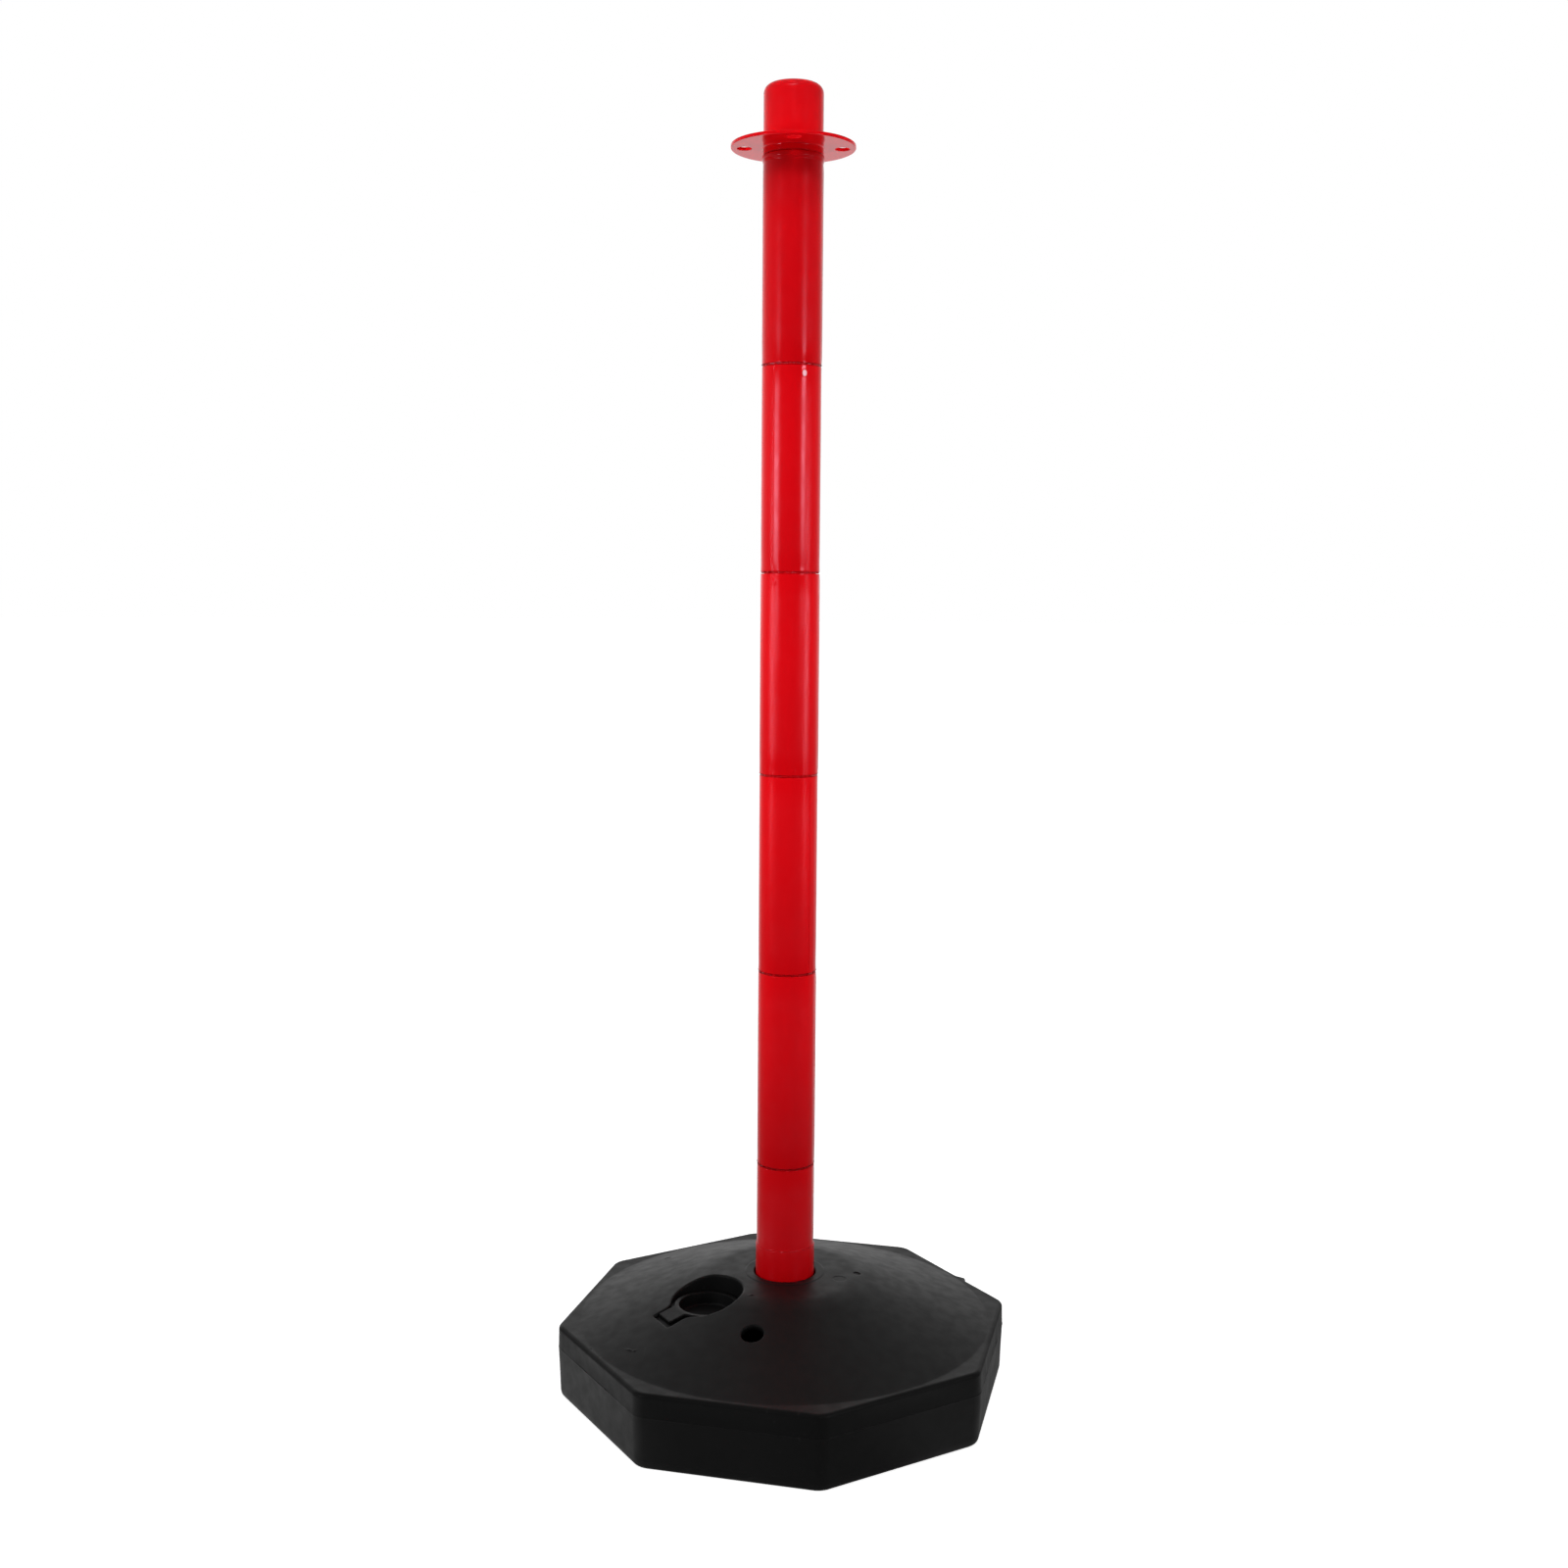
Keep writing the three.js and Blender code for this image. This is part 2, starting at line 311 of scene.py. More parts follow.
def even_angles(count):
    return np.arange(count) * tau / count


def unit_circle(count):
    angles = even_angles(count)
    return np.c_[np.cos(angles), np.sin(angles)]


def seeds_round(centre, radii, spacing):
    """Points on rings round a centre, about as far apart on each ring as the spacing."""
    rings = []
    for radius in radii:
        count = 1 if radius == 0 else 8 * ceil(tau * radius / spacing / 8)
        rings.append(np.array(centre) + radius * unit_circle(count))
    return np.concatenate(rings)


def circle(centre, radius, count):
    """An outline that gives a circle's points at any distance outside it."""
    unit = unit_circle(count)
    return lambda level: np.array(centre) + (radius + level) * unit


def box_distance(x, y, low, high, corner):
    """Distance to a box with rounded corners."""
    middle = [(a + b) / 2 for a, b in zip(low, high)]
    half = [(b - a) / 2 for a, b in zip(low, high)]
    over_x = np.abs(x - middle[0]) - half[0] + corner
    over_y = np.abs(y - middle[1]) - half[1] + corner
    outside = np.hypot(np.maximum(over_x, 0), np.maximum(over_y, 0))
    return outside + np.minimum(np.maximum(over_x, over_y), 0) - corner


def joined(one, other, radius):
    """Distance to two shapes with a round fillet where they meet."""
    corner = np.hypot(np.maximum(radius - one, 0), np.maximum(radius - other, 0))
    return np.maximum(radius, np.minimum(one, other)) - corner


def polar(angle, distance):
    return distance * np.array([cos(angle), sin(angle)])


def turned(points, angle):
    """Coordinates of points along and across a direction."""
    across = np.array([-sin(angle), cos(angle)])
    return points @ polar(angle, 1), points @ across


FILLER = polar(FILLER_ANGLE, FILLER_DISTANCE)
VENT = polar(VENT_ANGLE, VENT_DISTANCE)


def to_filler(points):
    """Coordinates along and across the slot, from the filler's axis."""
    return turned(points - FILLER, FILLER_ANGLE)


def pocket_distance(x, y):
    bowl = np.hypot(x, y) - POCKET_RADIUS
    slot = box_distance(x, y, (0, SLOT_SIDES[0]), (SLOT_LENGTH, SLOT_SIDES[1]), 1.0)
    return joined(bowl, slot, 4.0)


def bung_distance(x, y):
    rim = np.hypot(x, y) - BUNG_RIM[1]
    tab = box_distance(x, y, (0, -TAB_HALF_WIDTH), (TAB_LENGTH, TAB_HALF_WIDTH), 0.8)
    return joined(rim, tab, 1.6)


def radii_at(distance, level, angles):
    """How far a star-shaped outline is from its centre in each direction."""
    low, high = np.zeros(len(angles)), np.full(len(angles), 2 * SLOT_LENGTH)
    for _ in range(36):
        middle = (low + high) / 2
        out = distance(middle * np.cos(angles), middle * np.sin(angles)) > level
        low, high = np.where(out, low, middle), np.where(out, middle, high)
    return low


def filler_outline(distance, count):
    """An outline round the filler's axis, at any distance outside it, with evenly set points."""
    fine = even_angles(3000)
    radii = radii_at(distance, 0, fine)
    places = np.c_[radii * np.cos(fine), radii * np.sin(fine)]
    steps = np.linalg.norm(np.roll(places, -1, axis=0) - places, axis=1)
    lengths = np.concatenate([[0], np.cumsum(steps)])
    angles = np.interp(np.arange(count) / count * lengths[-1], lengths, np.append(fine, tau))

    def outline(level):
        radii = radii_at(distance, level, angles)
        turned = angles + FILLER_ANGLE
        return FILLER + np.c_[radii * np.cos(turned), radii * np.sin(turned)]

    return outline


def lip(skin, outline, surface, edge):
    """Rounds a surface over into a hole. Returns its first and last loops."""
    loops = []
    for out, drop in [(-SUPPORT / edge, 0), *arc()]:
        points = outline(edge * (1 - out))
        loops.append(skin.loop(np.c_[points, surface(points) - edge * drop]))
    return skin.sweep(loops)


def toe(skin, outline, floor, edge, inwards=1):
    """Rounds a wall out onto a floor. Returns its first and last loops."""
    loops = []
    for sine, rest in [(-SUPPORT / edge, 0), *arc(), (1 + SUPPORT / edge, 1 + SUPPORT / edge)]:
        points = outline(-inwards * edge * min(rest, 1 + SUPPORT / edge))
        height = floor(points) + edge * (1 - min(sine, 1))
        loops.append(skin.loop(np.c_[points, height]))
    return skin.sweep(loops)


# Small marks that the mould leaves on the dome: angle, distance, radius and depth
DOME_MARKS = (
    (radians(12.0), 51.0, 2.9, 0.6),
    (radians(-5.0), 40.5, 5.0, 0.22),
    (radians(152.0), 118.0, 2.9, 0.3),
)
# Scuffs that stand a little proud: angle, distance, direction and length
DOME_SCUFFS = (
    (radians(-104.5), 48.0, radians(20.0), 3.4),
    (radians(-130.0), 128.0, radians(-25.0), 5.2),
    (radians(-128.2), 126.5, radians(30.0), 2.4),
)
SCUFF_PROUD = 0.45
SCUFF_HALF_WIDTH = 0.6


def dome(points):
    """Height of the tank's top."""
    points = np.asarray(points)
    radius = np.hypot(*points.T)
    height = np.full(len(points), BORDER_HEIGHT)
    for bend, slope, half_width in DOME_BENDS:
        height = height + slope * hinge(bend - radius, half_width)
    height -= HUB_RING_STEP * (1 - np.clip(HUB_RING + 0.5 - radius, 0, 1))
    height += HUB_RING_STEP * np.clip((radius - HUB) / 20, 0, 1)
    for angle, distance, size, depth in DOME_MARKS:
        away = np.linalg.norm(points - polar(angle, distance), axis=1)
        height -= depth * np.clip((size - away) / 0.7, 0, 1)
    for angle, distance, direction, length in DOME_SCUFFS:
        along, across = turned(points - polar(angle, distance), direction)
        height += SCUFF_PROUD * pulse(along, length / 2) * pulse(across, SCUFF_HALF_WIDTH)
    inner = np.clip((DOME_EDGE - radius) / 12, 0, 1)
    uneven = 1 + waves(at_height(points, 0), DOME_WAVE_SIZE, 7)
    return height - DOME_WAVE * inner * uneven / 2


def pocket_floor(points):
    along, _ = to_filler(np.asarray(points))
    return POCKET_FLOOR - SLOT_FALL * hinge(along - SLOT_START, 1.5)


def lowered(surface, drop):
    return lambda points: surface(points) - drop


def level(height):
    return lambda points: np.full(len(points), float(height))


def octagon(flat, height):
    """Points round an octagon with rounded corners, the same number for every size."""
    corner = TANK_CORNER * flat / TANK_FLAT
    reach = (flat - corner) / cos(pi / 8)
    bends = []
    for index in range(8):
        middle = (2 * index + 1) * pi / 8
        turns = middle + np.linspace(-pi / 8, pi / 8, CORNER_POINTS)
        bends.append(polar(middle, reach) + corner * np.c_[np.cos(turns), np.sin(turns)])
    points = []
    for bend, after in zip(bends, bends[1:] + bends[:1]):
        side = np.linspace(bend[-1], after[0], SIDE_POINTS + 2)[1:-1]
        points += [bend, side]
    return at_height(np.concatenate(points), height)


def from_flat(points):
    """How far each point round an octagon is from the middle of its side, along the side."""
    angles = np.arctan2(points[:, 1], points[:, 0])
    return TANK_FLAT * np.tan((angles + pi / 8) % (pi / 4) - pi / 8)


# The nub that the mould's vent leaves on the side that faces between +X and +Y
NUB_ANGLE = radians(40.7)
NUB_HEIGHT = 49.8
NUB_SIZE = (3.3, 2.6)
NUB_PROUD = 3.4


def side_relief(points):
    """How far the tank's sides stand out from their plain shape."""
    along = from_flat(points)
    height = points[:, 2]
    low = np.clip((height - FLOOR_EDGE) / (PARTING_HEIGHT - FLOOR_EDGE), 0, 1)
    high = (height - PARTING_HEIGHT) / (BORDER_HEIGHT - BORDER_EDGE - PARTING_HEIGHT)
    panel = np.where(height < PARTING_HEIGHT, low, np.clip(high, 0, 1))
    relief = -SIDE_SINK * np.sin(pi * panel) * np.clip(1 - (along / SIDE_SINK_REACH) ** 2, 0, 1) ** 2
    relief -= SIDE_WAVE * np.sin(pi * panel) * (1 + waves(points, 30.0, 3)) / 2
    nub = polar(NUB_ANGLE, TANK_FLAT / cos(NUB_ANGLE - pi / 4))
    outwards, sideways = turned(points[:, :2] - nub, pi / 4)
    bump = pulse(sideways, NUB_SIZE[0]) * pulse(height - NUB_HEIGHT, NUB_SIZE[1])
    return relief + NUB_PROUD * bump * (outwards > -TANK_FLAT)


def flash_height(points):
    """How far the moulding seam stands proud, uneven where it was trimmed."""
    ripple = 0.5 + 0.5 * waves(points, 6.0, 21)
    swell = 0.5 + 0.5 * waves(points, 45.0, 5)
    return FLASH * np.clip(3.2 * ripple * swell - 0.55, 0.12, 1)


def tank_side(flat, height, flash=0.0):
    points = octagon(flat, height)
    out = side_relief(points) + flash * flash_height(points)
    scale = 1 + out / np.hypot(points[:, 0], points[:, 1])
    return np.c_[points[:, :2] * scale[:, None], points[:, 2]]


def side_profile():
    """The tank's side as (distance to the flats, height, share of the flash), from below."""
    steps = [
        (RECESS_FLAT, RECESS_DEPTH - 0.8, 0),
        (RECESS_FLAT + 0.3, 0.8, 0),
        (RECESS_FLAT + 1.1, 0, 0),
        (RECESS_FLAT + 1.6, 0, 0),
        (TANK_FLAT_FLOOR - FLOOR_EDGE - SUPPORT, 0, 0),
    ]
    for sine, rest in arc():
        steps.append((TANK_FLAT_FLOOR - FLOOR_EDGE * (1 - sine), FLOOR_EDGE * rest, 0))
    rise = TANK_FLAT - TANK_FLAT_FLOOR
    lower = np.linspace(FLOOR_EDGE + SUPPORT, PARTING_HEIGHT - 0.9, 14)
    for height in lower:
        steps.append((TANK_FLAT_FLOOR + rise * height / PARTING_HEIGHT, height, 0))
    for offset, share in ((-0.5, 0), (-0.3, 0.45), (-0.1, 1), (0.1, 1), (0.3, 0.45), (0.5, 0)):
        steps.append((TANK_FLAT, PARTING_HEIGHT + offset, share))
    top = BORDER_HEIGHT - BORDER_EDGE
    for height in np.linspace(PARTING_HEIGHT + 0.9, top - SUPPORT, 12):
        share = (height - PARTING_HEIGHT) / (top - PARTING_HEIGHT)
        steps.append((TANK_FLAT + share * (TANK_FLAT_TOP - TANK_FLAT), height, 0))
    for sine, rest in arc():
        steps.append((TANK_FLAT_TOP - BORDER_EDGE * rest, top + BORDER_EDGE * sine, 0))
    steps.append((TANK_FLAT_TOP - BORDER_EDGE - 0.4, BORDER_HEIGHT, 0))
    return steps


def dome_seeds():
    """Where the dome's points lie: rings close together where its outline bends."""
    bends = [0.0]
    for bend, _, half_width in DOME_BENDS:
        bends += list(np.linspace(bend - half_width, bend + half_width, 7))
    bends += list(np.linspace(HUB_RING - 1, HUB_RING + 1, 7))
    radii = np.unique(np.round(np.concatenate([np.arange(24, 158, 2.7), bends[1:]]), 2))
    spaced = [radii[0]]
    for radius in radii[1:]:
        if radius - spaced[-1] > 0.3:
            spaced.append(radius)
    rings = []
    for radius in spaced:
        count = 288 if radius > 75 else 192 if radius > 45 else 144
        rings.append(radius * unit_circle(count))
    seeds = np.concatenate(rings)
    patches = []
    for angle, distance, size, _ in DOME_MARKS:
        reach = size + 0.6
        centre = polar(angle, distance)
        seeds = seeds[np.linalg.norm(seeds - centre, axis=1) > reach + 0.6]
        radii = [*np.arange(0, size - 1.2, 0.9), size - 0.9, size - 0.7, size - 0.35, size, reach]
        patches.append(seeds_round(centre, radii, 0.7))
    for angle, distance, _, length in DOME_SCUFFS:
        centre = polar(angle, distance)
        seeds = seeds[np.linalg.norm(seeds - centre, axis=1) > length + 0.5]
        patches.append(seeds_round(centre, np.arange(0, length, 0.4), 0.45))
    return np.concatenate([seeds, *patches])


def tank_skin():
    skin = Skin()
    # Outside: the recess underneath, the standing rim and the sides, up to the border
    sides = [skin.loop(tank_side(*step)) for step in side_profile()]
    under, border = skin.sweep(sides)
    recess = skin.loop(octagon(RECESS_FLAT - 0.8, RECESS_DEPTH))
    skin.band(recess, under)
    skin.sheet(recess, [], seeds_round((0, 0), np.arange(0, 140, 14), 14), level(RECESS_DEPTH))
    # The dome with its three holes
    socket = circle((0, 0), SOCKET_RADIUS, 120)
    pocket = filler_outline(pocket_distance, 220)
    vent = circle(VENT, VENT_RADIUS, 64)
    socket_top, socket_wall = lip(skin, socket, dome, SOCKET_EDGE)
    pocket_top, pocket_wall = lip(skin, pocket, dome, POCKET_EDGE)
    vent_top, vent_wall = lip(skin, vent, dome, VENT_EDGE)
    skin.sheet(border, [socket_top, pocket_top, vent_top], dome_seeds(), dome)
    # The socket, closed at the bottom
    socket_toe, socket_floor = toe(skin, socket, level(SOCKET_FLOOR), 1.0)
    skin.band(socket_wall, socket_toe)
    skin.band(socket_floor, skin.loop([(0, 0, SOCKET_FLOOR)]))
    # The pocket's wall and floor, with the filler's hole
    pocket_toe, pocket_rim = toe(skin, pocket, pocket_floor, 0.7)
    skin.band(pocket_wall, pocket_toe)
    filler = circle(FILLER, FILLER_RADIUS, 120)
    filler_top, filler_wall = lip(skin, filler, pocket_floor, 0.5)
    slot_seeds = seeds_round(FILLER, np.arange(21, 42, 1.5), 1.5)
    skin.sheet(pocket_rim, [filler_top], slot_seeds, pocket_floor)
    # Inside: the ballast's room, which goes round the socket and under the pocket
    ceiling = lowered(dome, TANK_WALL)
    inside_floor = RECESS_DEPTH + TANK_WALL
    room = [
        skin.loop(octagon(TANK_FLAT_FLOOR - FLOOR_EDGE - TANK_WALL, inside_floor)),
        skin.loop(octagon(TANK_FLAT - TANK_WALL, PARTING_HEIGHT)),
        skin.loop(octagon(TANK_FLAT_TOP - TANK_WALL, BORDER_HEIGHT - TANK_WALL)),
    ]
    room_floor, room_top = skin.sweep(room)
    tube = circle((0, 0), SOCKET_RADIUS + SOCKET_WALL, 72)(0)
    tube_top = skin.loop(np.c_[tube, ceiling(tube)])
    tube_foot = skin.loop(at_height(tube, inside_floor))
    skin.band(tube_top, tube_foot)
    bulge = pocket(TANK_WALL)
    bulge_top = skin.loop(np.c_[bulge, ceiling(bulge)])
    underside = lowered(pocket_floor, TANK_WALL)
    bulge_foot = skin.loop(np.c_[bulge, underside(bulge)])
    skin.band(bulge_top, bulge_foot)
    vent_inside = skin.loop(np.c_[vent(0), ceiling(vent(0))])
    skin.band(vent_wall, vent_inside)
    filler_inside = skin.loop(np.c_[filler(0), underside(filler(0))])
    skin.band(filler_wall, filler_inside)
    coarse = seeds_round((0, 0), np.arange(28, 156, 8), 8)
    skin.sheet(room_top, [tube_top, bulge_top, vent_inside], coarse, ceiling)
    skin.sheet(room_floor, [tube_foot], coarse, level(inside_floor))
    skin.sheet(bulge_foot, [filler_inside], seeds_round(FILLER, np.arange(24, 42, 4), 4), underside)
    return skin


def bung_skin():
    skin = Skin()
    outline = filler_outline(bung_distance, 200)
    cup = circle(FILLER, BUNG_RIM[0], 120)
    thickness = BUNG_RIM_TOP - POCKET_FLOOR - GAP

    def top(points):
        along, _ = to_filler(np.asarray(points))
        return BUNG_RIM_TOP - SLOT_FALL * hinge(along - SLOT_START - 1, 1.5)

    # Upper face, from the rounded outer edge to the rounded edge of the cup
    edge = []
    for sine, rest in [(-SUPPORT / BUNG_EDGE, 0), *arc()]:
        points = outline(-BUNG_EDGE * (1 - sine))
        edge.append(skin.loop(np.c_[points, top(points) - BUNG_EDGE * rest]))
    face, shoulder = skin.sweep(edge)
    cup_top, cup_wall = lip(skin, cup, top, BUNG_EDGE)
    seeds = seeds_round(FILLER, np.arange(19, 36, 0.8), 1.0)
    skin.sheet(face, [cup_top], seeds, top)
    # The cup's floor, with the point where it was injected
    cup_floor = BUNG_BOTTOM + BUNG_SKIN
    inner = circle(FILLER, BUNG_RIM[0] - 0.6, 120)
    wall_foot, floor_rim = toe(skin, inner, level(cup_floor), 1.6)
    skin.band(cup_wall, wall_foot)
    rings = []
    for radius, lift in ((9, 0), (3.2, 0), (2.6, 0), (2.0, 0.25), (0.9, 0.3), (0.5, 0.7)):
        points = circle(FILLER, radius, 120)(0)
        rings.append(skin.loop(at_height(points, cup_floor + lift)))
    tip = skin.loop([(*FILLER, cup_floor + 0.8)])
    skin.sweep([floor_rim, *rings, tip])
    # The rim's underside and the plug that fills the hole
    lower_edge = outline(0)
    lower = skin.loop(np.c_[lower_edge, top(lower_edge) - thickness + 0.3])
    tucked = outline(-0.3)
    under = skin.loop(np.c_[tucked, top(tucked) - thickness])
    skin.sweep([shoulder, lower, under])
    plug = circle(FILLER, BUNG_PLUG_RADIUS, 120)
    plug_top = skin.loop(np.c_[plug(0), top(plug(0)) - thickness])
    skin.sheet(under, [plug_top], seeds_round(FILLER, np.arange(21, 36, 1.6), 1.6), lowered(top, thickness))
    foot = []
    for sine, rest in arc():
        points = plug(-PLUG_EDGE * rest)
        foot.append(skin.loop(at_height(points, BUNG_BOTTOM + PLUG_EDGE * (1 - sine))))
    foot.append(skin.loop([(*FILLER, BUNG_BOTTOM)]))
    skin.sweep([plug_top, *foot])
    return skin


def refined(values, marks, reach, step):
    """Values with closer ones added round each mark, and none nearly alike."""
    extra = [mark + np.arange(-reach, reach + step / 2, step) for mark in marks]
    merged = np.sort(np.concatenate([np.asarray(values, float), *extra]))
    kept = [merged[0]]
    for value in merged[1:]:
        if value - kept[-1] > 0.45 * step:
            kept.append(value)
    return np.array(kept)


# The gate's mark on the fifth section: angle, distance below the joint above, and half-sizes
GATE_ANGLE = -51
GATE_DROP = 6.2
GATE_SIZE = (1.8, 2.4)
SEAM_STEP = 0.28  # from one half of the mould to the other
SEAM_FALL = 2.4  # how far round the post the step wears off
SEAM_EDGE = 0.1
SEAM_GROOVE = 0.9  # how deep the line beside the seam is, next to the step
SHRINKAGE = 0.045  # near a section's ends, where the wall is thicker
UNEVENNESS = 0.03


class Moulding:
    """The unevenness that the mould leaves on one post section."""

    def __init__(self, seed, seam, pips=()):
        self.seed = seed
        self.seam = radians(seam)
        self.pips = [(radians(angle), height, half) for angle, height, half in pips]

    def angles(self):
        marks = [self.seam % tau, (self.seam + pi) % tau]
        step = 0.17 / POST_RADIUS
        found = refined(even_angles(POST_ANGLES), marks, 1.0 / POST_RADIUS, step)
        pips = [angle % tau for angle, _, _ in self.pips]
        return refined(found, pips, 2.6 / POST_RADIUS, 2 * step) if pips else found

    def heights(self, bottom, top):
        rows = np.linspace(bottom, top, ceil((top - bottom) / ROW_PITCH) + 1)
        inner = [height for _, height, _ in self.pips]
        found = refined(rows, inner, 3.4, 0.34) if inner else rows
        return found[(found > bottom - 0.01) & (found < top + 0.01)]

    def relief(self, angles, height, bottom, top):
        """How far the outside stands out from its plain radius at each angle."""
        out = np.zeros(len(angles))
        for seam, proud in ((self.seam, SEAM_STEP), (self.seam + pi, SEAM_STEP / 2)):
            past = arc_from(angles, seam)
            step = np.exp(-np.clip(past, 0, None) / SEAM_FALL) / (1 + np.exp(-past / SEAM_EDGE))
            out += proud * (step - SEAM_GROOVE * pulse(past + SEAM_EDGE * 4, SEAM_EDGE * 3))
        for place, middle, (half_across, half_up, proud) in self.pips:
            away = arc_from(angles, place) / half_across
            reach = np.hypot(away, (height - middle) / half_up)
            out += proud * np.clip(2.5 * (1 - reach ** 2), 0, 1)
        above, below = height - bottom, top - height
        sink = pulse(above - 5, 5) + 0.7 * pulse(below - 24, 6)
        around = np.c_[np.cos(angles), np.sin(angles), np.full(len(angles), height / 44)] * 1.3
        mottle = waves(around, 1.0, 5 * self.seed) + 0.5 * waves(around, 0.43, 5 * self.seed)
        fade = min(1.0, above / 4, below / 4)
        return fade * (out - SHRINKAGE * sink - UNEVENNESS * (1.5 + mottle))


def arc_from(angles, place):
    """How far round the post each angle is from a place, in millimetres."""
    return POST_RADIUS * np.arctan2(np.sin(angles - place), np.cos(angles - place))


def wall_rows(skin, moulding, angles, bottom, top, heights):
    """Loops up a section's outside, shaped by what the mould leaves."""
    loops = []
    for height in heights:
        radii = POST_RADIUS + moulding.relief(angles, height, bottom, top)
        points = np.c_[radii * np.cos(angles), radii * np.sin(angles)]
        loops.append(skin.loop(at_height(points, height)))
    return loops


def spigot_corners(joint, shoulder, gap=GAP):
    """The end that goes down into the piece below a joint, from its bore out to its shoulder."""
    seat = joint - GROOVE / 2 + gap
    tip = joint - SPIGOT_LENGTH
    return [
        (SPIGOT_BORE, tip, 0.4),
        (SPIGOT_RADIUS - SPIGOT_LEAD / 2, tip, 0.4),
        (SPIGOT_RADIUS, tip + SPIGOT_LEAD, 0.6),
        (SPIGOT_RADIUS, seat, 0.2),
        (shoulder, seat, 0.12),
    ]


def section_skin(node, joint, moulding, rim=False):
    """One post section. The foot section has no spigot, and the top one ends in a rim."""
    skin = Skin()
    angles = moulding.angles()
    top = span(node, 2)[1]
    foot = joint is None
    if foot:
        bottom = span(node, 2)[0]
        lead = COLLAR_RADIUS - POST_RADIUS
        outline = [
            (POST_BORE, bottom, 0.4),
            (POST_RADIUS, bottom, 0.3),
            (COLLAR_RADIUS, bottom + 2 * lead, 0.5),
            (COLLAR_RADIUS, FOOT_COLLAR_TOP, 0.4),
            (POST_RADIUS, FOOT_COLLAR_TOP + lead, 0.4),
        ]
        start = FOOT_COLLAR_TOP + lead
        close = []
    else:
        start = joint + GROOVE / 2
        outline = [
            *spigot_corners(joint, SHOULDER_RADIUS),
            (SHOULDER_RADIUS, start, 0.12),
            (POST_RADIUS, start, END_EDGE),
        ]
        close = [
            (POST_BORE, start + 2 * SPIGOT_LEAD, 0.5),
            (SPIGOT_BORE, start, 0.5),
        ]
    body_top = top
    finish = [(POST_RADIUS, top, END_EDGE), (POST_BORE, top, END_EDGE)]
    if rim:
        body_top = top - RIM_HEIGHT
        finish = [
            (POST_RADIUS, body_top, 1.6),
            (COLLAR_RADIUS, body_top + 2 * RIM_LEAD, 1.6),
            (COLLAR_RADIUS, top - RIM_LEAD, 1.0),
            (NECK_RADIUS + 0.02, top, 0.1),
            (POST_BORE, top, END_EDGE),
        ]
    corners = [*outline, *finish, *close]
    points = rounded(corners)
    margin = 1.2
    low, high = start + margin, body_top - margin
    loops = []
    filled = False
    for radius, height in points:
        on_body = abs(radius - POST_RADIUS) < 0.01 and start < height < body_top
        if on_body and height > (low + high) / 2 and not filled:
            heights = moulding.heights(low, high)
            loops += wall_rows(skin, moulding, angles, start, body_top, heights)
            filled = True
        loops.append(skin.loop(ring(radius, height, angles)))
    skin.sweep(loops, closed=True)
    return skin


def cap_skin():
    skin = Skin()
    angles = even_angles(120)
    joint = span("post_top_section", 2)[1] + GROOVE / 2
    flange_top = FLANGE_BOTTOM + FLANGE_THICKNESS
    ceiling = CAP_TOP - CAP_SKIN
    eyes = []
    for eye in range(EYES):
        centre = polar(CAP_TURN + eye * tau / EYES, EYE_DISTANCE)
        eyes.append(circle(centre, EYE_RADIUS, 48))
    rim = circle((0, 0), FLANGE_RADIUS, 180)
    # Flange: its rounded rim, then each eye, rounded on both faces
    rim_loops = []
    steps = [(-SUPPORT / FLANGE_EDGE, 0), *arc(5)]
    for face, inwards, order in ((flange_top, -1, steps), (FLANGE_BOTTOM, 1, steps[::-1])):
        for sine, rest in order:
            points = rim(-FLANGE_EDGE * (1 - sine))
            height = face + inwards * FLANGE_EDGE * rest
            rim_loops.append(skin.loop(at_height(points, height)))
    upper, lower = skin.sweep(rim_loops)
    eye_tops, eye_feet = [], []
    for eye in eyes:
        top, wall = lip(skin, eye, level(flange_top), EYE_EDGE)
        under = []
        for sine, rest in reversed([(-SUPPORT / EYE_EDGE, 0), *arc()]):
            points = eye(EYE_EDGE * (1 - sine))
            under.append(skin.loop(at_height(points, FLANGE_BOTTOM + EYE_EDGE * rest)))
        skin.band(wall, under[0])
        skin.sweep(under)
        eye_tops.append(top)
        eye_feet.append(under[-1])
    # Body above the flange, up to the closed top
    body = rounded([
        (CAP_RADIUS + 4, flange_top, 0),
        (CAP_RADIUS, flange_top, FLANGE_FILLET),
        (CAP_RADIUS, CAP_TOP - 0.25, CAP_EDGE),
        (0, CAP_TOP, 0),
    ], 9)
    rows = [skin.loop(ring(radius, height, angles)) for radius, height in body[1:]]
    skin.sweep(rows)
    # Neck, spigot and the hollow inside
    neck = rounded([
        (NECK_RADIUS + 2, FLANGE_BOTTOM, 0),
        (NECK_RADIUS, FLANGE_BOTTOM, 0.9),
        *reversed(spigot_corners(joint, NECK_RADIUS, NECK_GAP)),
        (SPIGOT_BORE, ceiling, 2.0),
        (0, ceiling, 0),
    ], 5)
    hollow = [skin.loop(ring(radius, height, angles)) for radius, height in neck[1:]]
    skin.sweep(hollow)
    seeds = seeds_round((0, 0), np.arange(20, 41.5, 1.3), 1.5)
    skin.sheet(upper, [rows[0], *eye_tops], seeds, level(flange_top))
    skin.sheet(lower, [hollow[0], *eye_feet], seeds, level(FLANGE_BOTTOM))
    return skin


